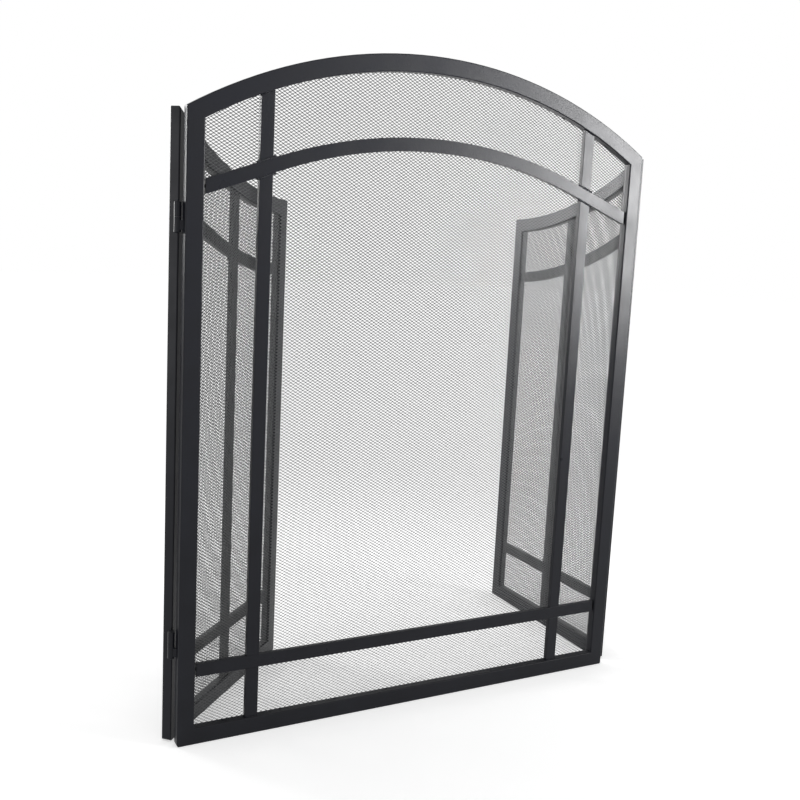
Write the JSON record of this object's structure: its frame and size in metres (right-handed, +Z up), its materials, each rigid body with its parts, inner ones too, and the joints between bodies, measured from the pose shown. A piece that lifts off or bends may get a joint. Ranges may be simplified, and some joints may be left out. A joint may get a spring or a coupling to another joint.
{
  "type": "fireplace screen",
  "caption": "Free-standing folding fireplace screen: arched centre panel and swept hinged wings, black steel frames with flat-bar grids and expanded-metal mesh.",
  "frame": {"origin": "point on the floor under the middle of the centre panel, at the middle of its tube's depth", "axes": "+X along the centre panel to the right as seen from the room, +Y towards the fire, +Z up"},
  "size_m": [0.6592, 0.3076, 0.8],
  "materials": {
    "frame_paint": "satin black powder coat",
    "bar_paint": "satin black powder coat",
    "weld_paint": "painted weld",
    "mesh_paint": "satin black paint",
    "hinge_paint": "satin black paint",
    "pin_steel": "turned steel, blackened and oiled"
  },
  "bodies": {
    "centre_panel": {"centre_left_stile": "frame_paint", "centre_right_stile": "frame_paint", "centre_bottom_rail": "frame_paint", "centre_arch_rail": "frame_paint", "centre_inner_arch": "bar_paint", "centre_lower_bar": "bar_paint", "centre_left_upright_low": "bar_paint", "centre_left_upright_mid": "bar_paint", "centre_left_upright_top": "bar_paint", "centre_right_upright_low": "bar_paint", "centre_right_upright_mid": "bar_paint", "centre_right_upright_top": "bar_paint", "centre_bar_tacks": "weld_paint", "centre_mesh": "mesh_paint", "left_low_knuckle": "hinge_paint", "left_high_knuckle": "hinge_paint", "right_low_knuckle": "hinge_paint", "right_high_knuckle": "hinge_paint", "left_low_pin": "pin_steel", "left_high_pin": "pin_steel", "right_low_pin": "pin_steel", "right_high_pin": "pin_steel"},
    "left_wing": {"left_hinge_stile": "frame_paint", "left_free_stile": "frame_paint", "left_top_rail": "frame_paint", "left_bottom_rail": "frame_paint", "left_curved_bar": "bar_paint", "left_lower_bar": "bar_paint", "left_upright_low": "bar_paint", "left_upright_mid": "bar_paint", "left_upright_top": "bar_paint", "left_bar_tacks": "weld_paint", "left_mesh": "mesh_paint", "left_low_socket": "hinge_paint", "left_high_socket": "hinge_paint"},
    "right_wing": {"right_hinge_stile": "frame_paint", "right_free_stile": "frame_paint", "right_top_rail": "frame_paint", "right_bottom_rail": "frame_paint", "right_curved_bar": "bar_paint", "right_lower_bar": "bar_paint", "right_upright_low": "bar_paint", "right_upright_mid": "bar_paint", "right_upright_top": "bar_paint", "right_bar_tacks": "weld_paint", "right_mesh": "mesh_paint", "right_low_socket": "hinge_paint", "right_high_socket": "hinge_paint"}
  },
  "joints": [
    {"name": "left_wing_hinge", "type": "hinge", "parent": "centre_panel", "child": "left_wing", "pos_m": [-0.3144, 0.0075, 0], "axis": [0, 0, -1], "range_deg": [-165.4, 44.6]},
    {"name": "right_wing_hinge", "type": "hinge", "parent": "centre_panel", "child": "right_wing", "pos_m": [0.3144, 0.0075, 0], "axis": [0, 0, 1], "range_deg": [-117.8, 92.2]}
  ]
}
